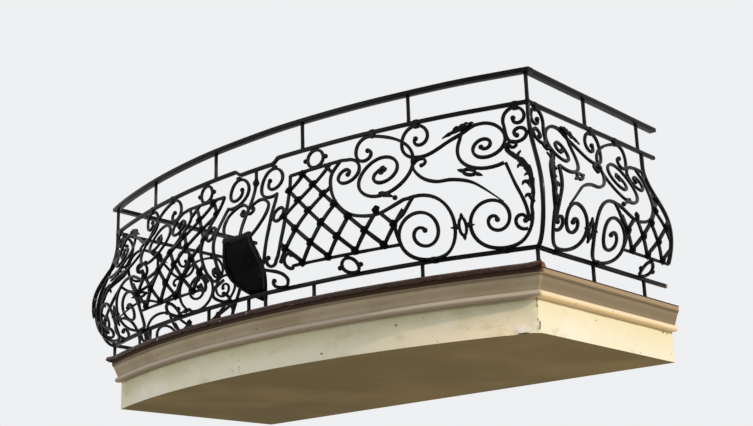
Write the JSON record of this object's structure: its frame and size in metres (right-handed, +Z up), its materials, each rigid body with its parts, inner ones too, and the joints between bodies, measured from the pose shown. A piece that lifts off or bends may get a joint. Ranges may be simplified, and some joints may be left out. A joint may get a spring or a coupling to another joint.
{
  "type": "wrought iron balcony",
  "caption": "Bow-fronted masonry balcony with a bellied wrought iron railing of scrolls, lattice and a bare shield, cut off flat at the wall.",
  "frame": {"origin": "On the plane of the wall, in the middle of the balcony's width and half way up the slab's height.", "axes": "X runs along the wall and is the longest extent. -Y points out of the wall towards the street, so +Y points into the wall. Z is up."},
  "size_m": [3.7852, 1.8952, 1.413],
  "materials": {
    "iron": "semi-gloss black paint with thin rust",
    "iron_worn": "dull black paint, dusty",
    "flashing": "faded brown paint on sheet metal",
    "plaster": "painted plaster, weathered",
    "moulding": "grimy beige plaster",
    "screed": "rough cement"
  },
  "bodies": {
    "root": {"slab_core": "plaster", "floor_topping": "screed", "edge_flashing": "flashing", "cornice_bed": "plaster", "cornice_cavetto": "moulding", "cornice_roll": "moulding", "fascia_band": "plaster", "handrail_front": "iron", "handrail_left": "iron", "handrail_right": "iron", "upper_rail_front": "iron", "upper_rail_left": "iron", "upper_rail_right": "iron", "lower_rail_front": "iron", "lower_rail_left": "iron", "lower_rail_right": "iron", "handrail_struts": "iron", "rail_feet": "iron", "corner_post_left": "iron", "corner_post_right": "iron", "center_scrolls": "iron", "center_shield": "iron_worn", "shield_rim": "iron", "front_left_corner_scrolls": "iron", "front_right_corner_scrolls": "iron", "side_left_corner_scrolls": "iron", "side_right_corner_scrolls": "iron", "front_left_long_scrolls": "iron", "front_right_long_scrolls": "iron", "side_left_long_scrolls": "iron", "side_right_long_scrolls": "iron", "front_left_lattice": "iron", "front_right_lattice": "iron", "side_left_lattice": "iron", "side_right_lattice": "iron", "front_left_rosettes": "iron_worn", "front_right_rosettes": "iron_worn", "side_left_rosettes": "iron_worn", "side_right_rosettes": "iron_worn"}
  },
  "joints": []
}
